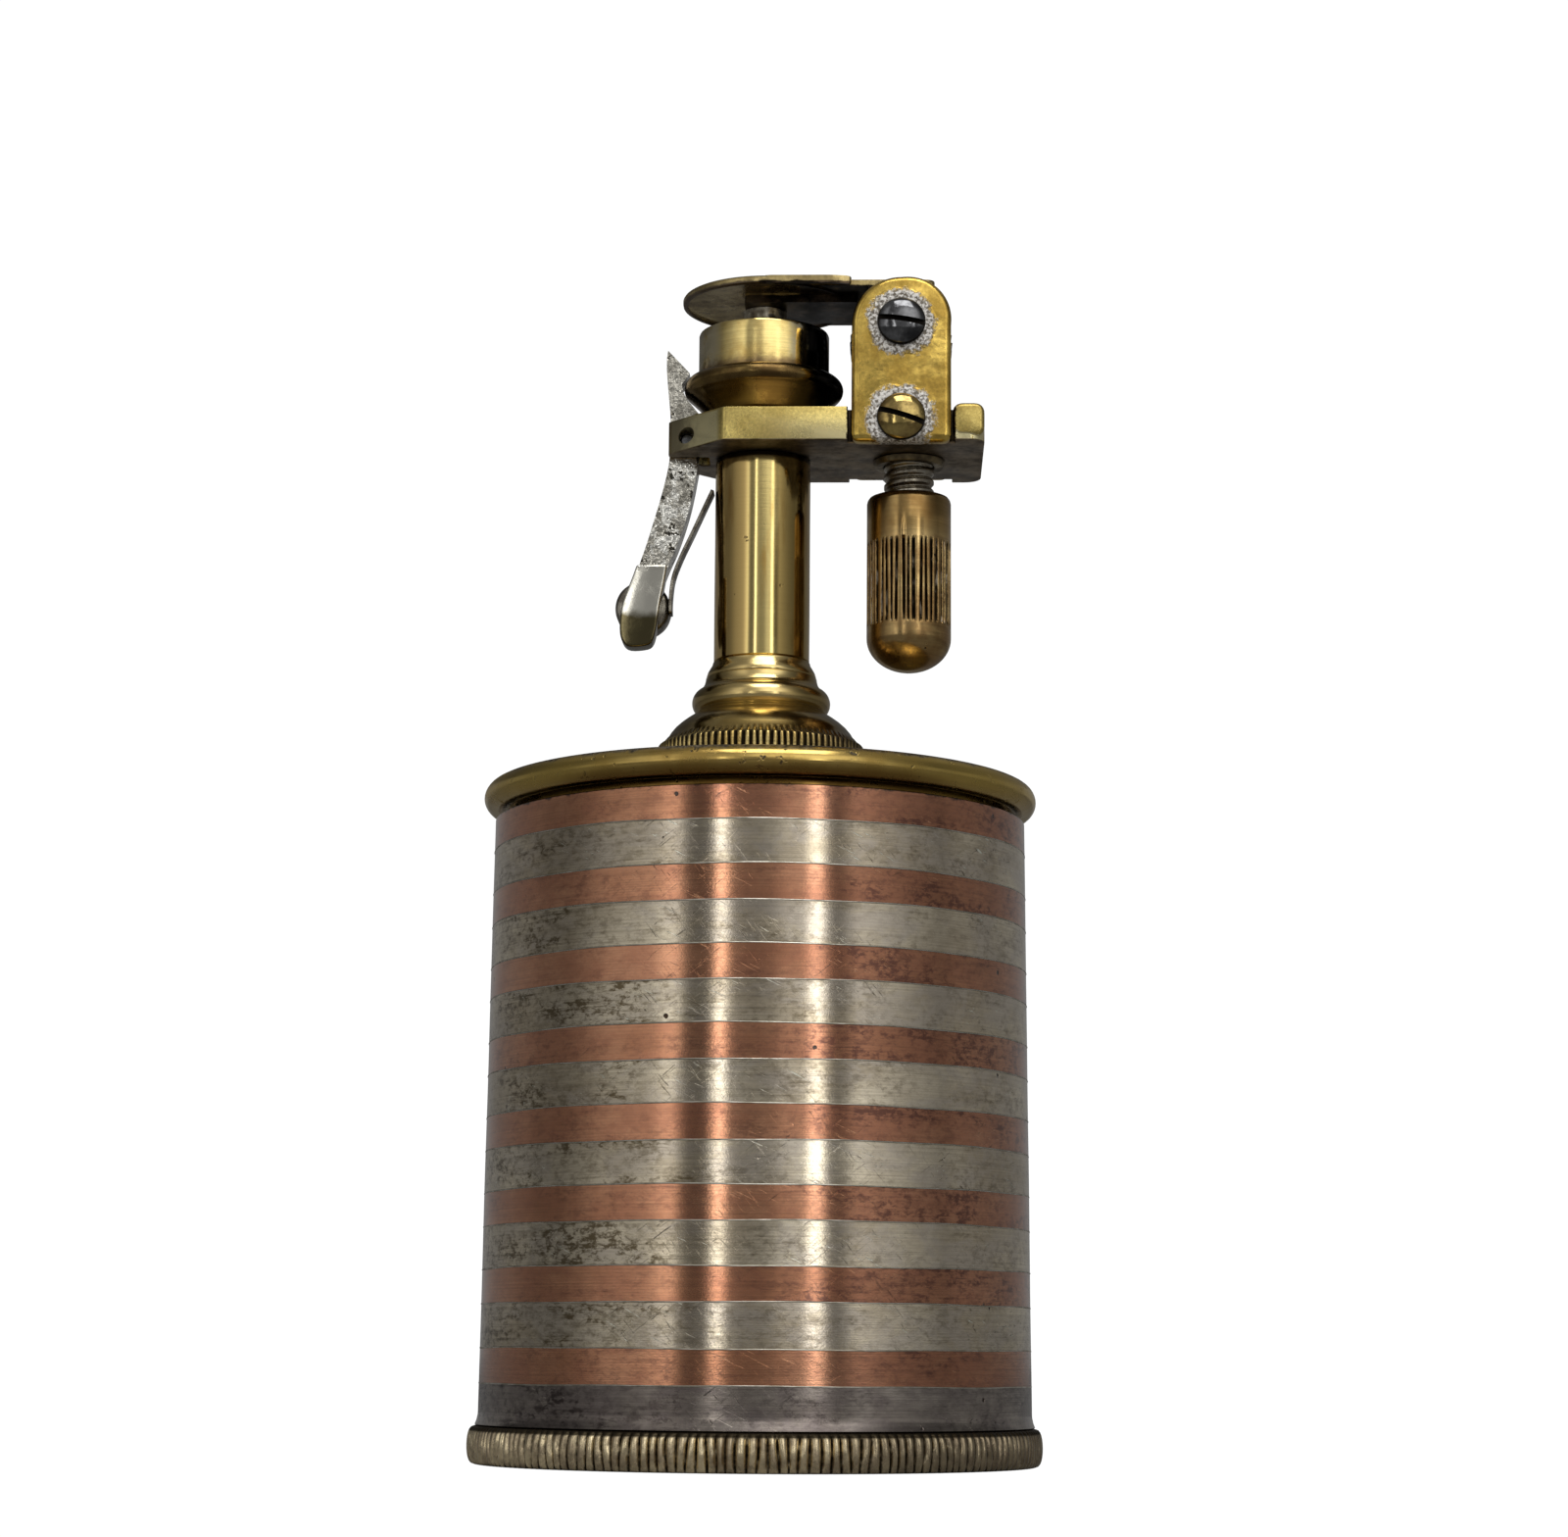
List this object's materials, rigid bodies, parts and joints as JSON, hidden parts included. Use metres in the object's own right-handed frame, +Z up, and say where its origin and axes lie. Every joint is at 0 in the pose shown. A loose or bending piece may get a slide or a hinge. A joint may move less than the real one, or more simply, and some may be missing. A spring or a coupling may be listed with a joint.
{
  "type": "table lighter",
  "caption": "Semi-automatic petrol table lighter: striped round tank, screw base cap, stem, platform with sprung snuffer arm, striker wheel, flint tube and trigger lever.",
  "frame": {"origin": "centre of the base cap's underside, where the lighter stands", "axes": "+Z up along the tank's and stem's axis; +X from the trigger lever towards the arm's hinge; -Y is the front, with the axle screw's head"},
  "size_m": [0.044, 0.044, 0.0928],
  "materials": {
    "copper_band": "brushed copper, satin, with brown tarnish",
    "silver_band": "brushed nickel silver, scratched and tarnished",
    "tank_tube": "dull brass tube",
    "base_cap": "knurled, worn plated brass",
    "top_cover": "polished, aged brass",
    "stem_foot": "turned and polished brass with dark creases",
    "stem_tube": "polished, aged brass",
    "platform": "filed, grained brass",
    "ear": "satin brass",
    "brass_screw": "dark brass screw",
    "axle_screw": "blackened steel",
    "striker_wheel": "hardened dark steel",
    "ratchet": "steel",
    "spring": "spring steel",
    "snuffer_arm": "sooty brass sheet",
    "snuffer_boss": "steel with crusted solder",
    "snuffer_cup": "polished brass",
    "snuffer_flange": "polished brass",
    "wick_tube": "sooty brass",
    "flint_tube": "threaded steel",
    "flint": "dull ferrocerium",
    "flint_cap": "polished brass with fine grooves",
    "plunger": "brass",
    "lever": "worn, pitted nickel plate",
    "lever_pin": "steel",
    "thumb_roll": "dark worn nickel plate",
    "cotton": "cotton",
    "gasket": "dark leather"
  },
  "bodies": {
    "tank": {"fuel_tank": "tank_tube", "top_cover": "top_cover", "filler_neck": "top_cover", "cotton_wadding": "cotton", "copper_band_1": "copper_band", "copper_band_2": "copper_band", "copper_band_3": "copper_band", "copper_band_4": "copper_band", "copper_band_5": "copper_band", "copper_band_6": "copper_band", "copper_band_7": "copper_band", "copper_band_8": "copper_band", "silver_band_1": "silver_band", "silver_band_2": "silver_band", "silver_band_3": "silver_band", "silver_band_4": "silver_band", "silver_band_5": "silver_band", "silver_band_6": "silver_band", "silver_band_7": "silver_band", "silver_band_8": "silver_band"},
    "base_screw": {"base_gasket": "gasket"},
    "base_cap": {"base_cap": "base_cap"},
    "filler_lift": {"wick": "cotton", "filler_gasket": "gasket"},
    "mechanism": {"stem_foot": "stem_foot", "stem_tube": "stem_tube", "platform": "platform", "wick_tube": "wick_tube", "front_ear": "ear", "rear_ear": "ear", "front_ear_screw": "brass_screw", "rear_ear_screw": "brass_screw", "axle_screw": "axle_screw", "axle_nut": "axle_screw", "flint_tube": "flint_tube", "flint_tube_collar": "flint_tube", "flint": "flint", "arm_spring": "spring", "lever_pin": "lever_pin"},
    "trigger": {"trigger_lever": "lever", "thumb_roll": "thumb_roll", "lever_spring": "spring"},
    "snuffer": {"snuffer_arm": "snuffer_arm", "snuffer_boss": "snuffer_boss", "snuffer_cup": "snuffer_cup", "snuffer_flange": "snuffer_flange", "ratchet_pawl": "spring"},
    "wheel": {"striker_wheel": "striker_wheel", "ratchet_gear": "ratchet"},
    "cap_screw": {"spring_plunger": "plunger", "flint_spring": "spring"},
    "flint_cap": {"flint_cap": "flint_cap"}
  },
  "joints": [
    {"name": "base_cap_travel", "type": "slide", "parent": "tank", "child": "base_screw", "axis": [0, 0, -1], "range_m": [0, 0.004]},
    {"name": "base_cap_turn", "type": "hinge", "parent": "base_screw", "child": "base_cap", "pos_m": [0, 0, 0], "axis": [0, 0, -1], "range_deg": [0, 1440]},
    {"name": "stem_travel", "type": "slide", "parent": "tank", "child": "filler_lift", "axis": [0, 0, 1], "range_m": [0, 0.003]},
    {"name": "stem_turn", "type": "hinge", "parent": "filler_lift", "child": "mechanism", "pos_m": [0, 0, 0.06], "axis": [0, 0, 1], "range_deg": [0, 1440]},
    {"name": "trigger_pivot", "type": "hinge", "parent": "mechanism", "child": "trigger", "pos_m": [-0.006, 0, 0.0802], "axis": [0, -1, 0], "range_deg": [0, 12], "stiffness_Nm_per_rad": 0.02, "springref_deg": -20.05, "deforming": ["lever_spring"]},
    {"name": "snuffer_hinge", "type": "hinge", "parent": "mechanism", "child": "snuffer", "pos_m": [0.01105, 0, 0.08837], "axis": [0, 1, 0], "range_deg": [0, 100]},
    {"name": "wheel_spin", "type": "hinge", "parent": "mechanism", "child": "wheel", "pos_m": [0.01105, 0, 0.08837], "axis": [0, 1, 0], "range_deg": [0, 100]},
    {"name": "flint_cap_travel", "type": "slide", "parent": "mechanism", "child": "cap_screw", "axis": [0, 0, -1], "range_m": [0, 0.004], "deforming": ["flint_spring"]},
    {"name": "flint_cap_turn", "type": "hinge", "parent": "cap_screw", "child": "flint_cap", "pos_m": [0.0117, 0, 0.07], "axis": [0, 0, -1], "range_deg": [0, 1800]}
  ],
  "couplings": [
    {"joint": "base_cap_turn", "follows": "base_cap_travel", "rad_per_m": 6283.2},
    {"joint": "stem_turn", "follows": "stem_travel", "rad_per_m": 8377.6},
    {"joint": "flint_cap_turn", "follows": "flint_cap_travel", "rad_per_m": 7854},
    {"joint": "wheel_spin", "follows": "snuffer_hinge", "ratio": 1}
  ]
}
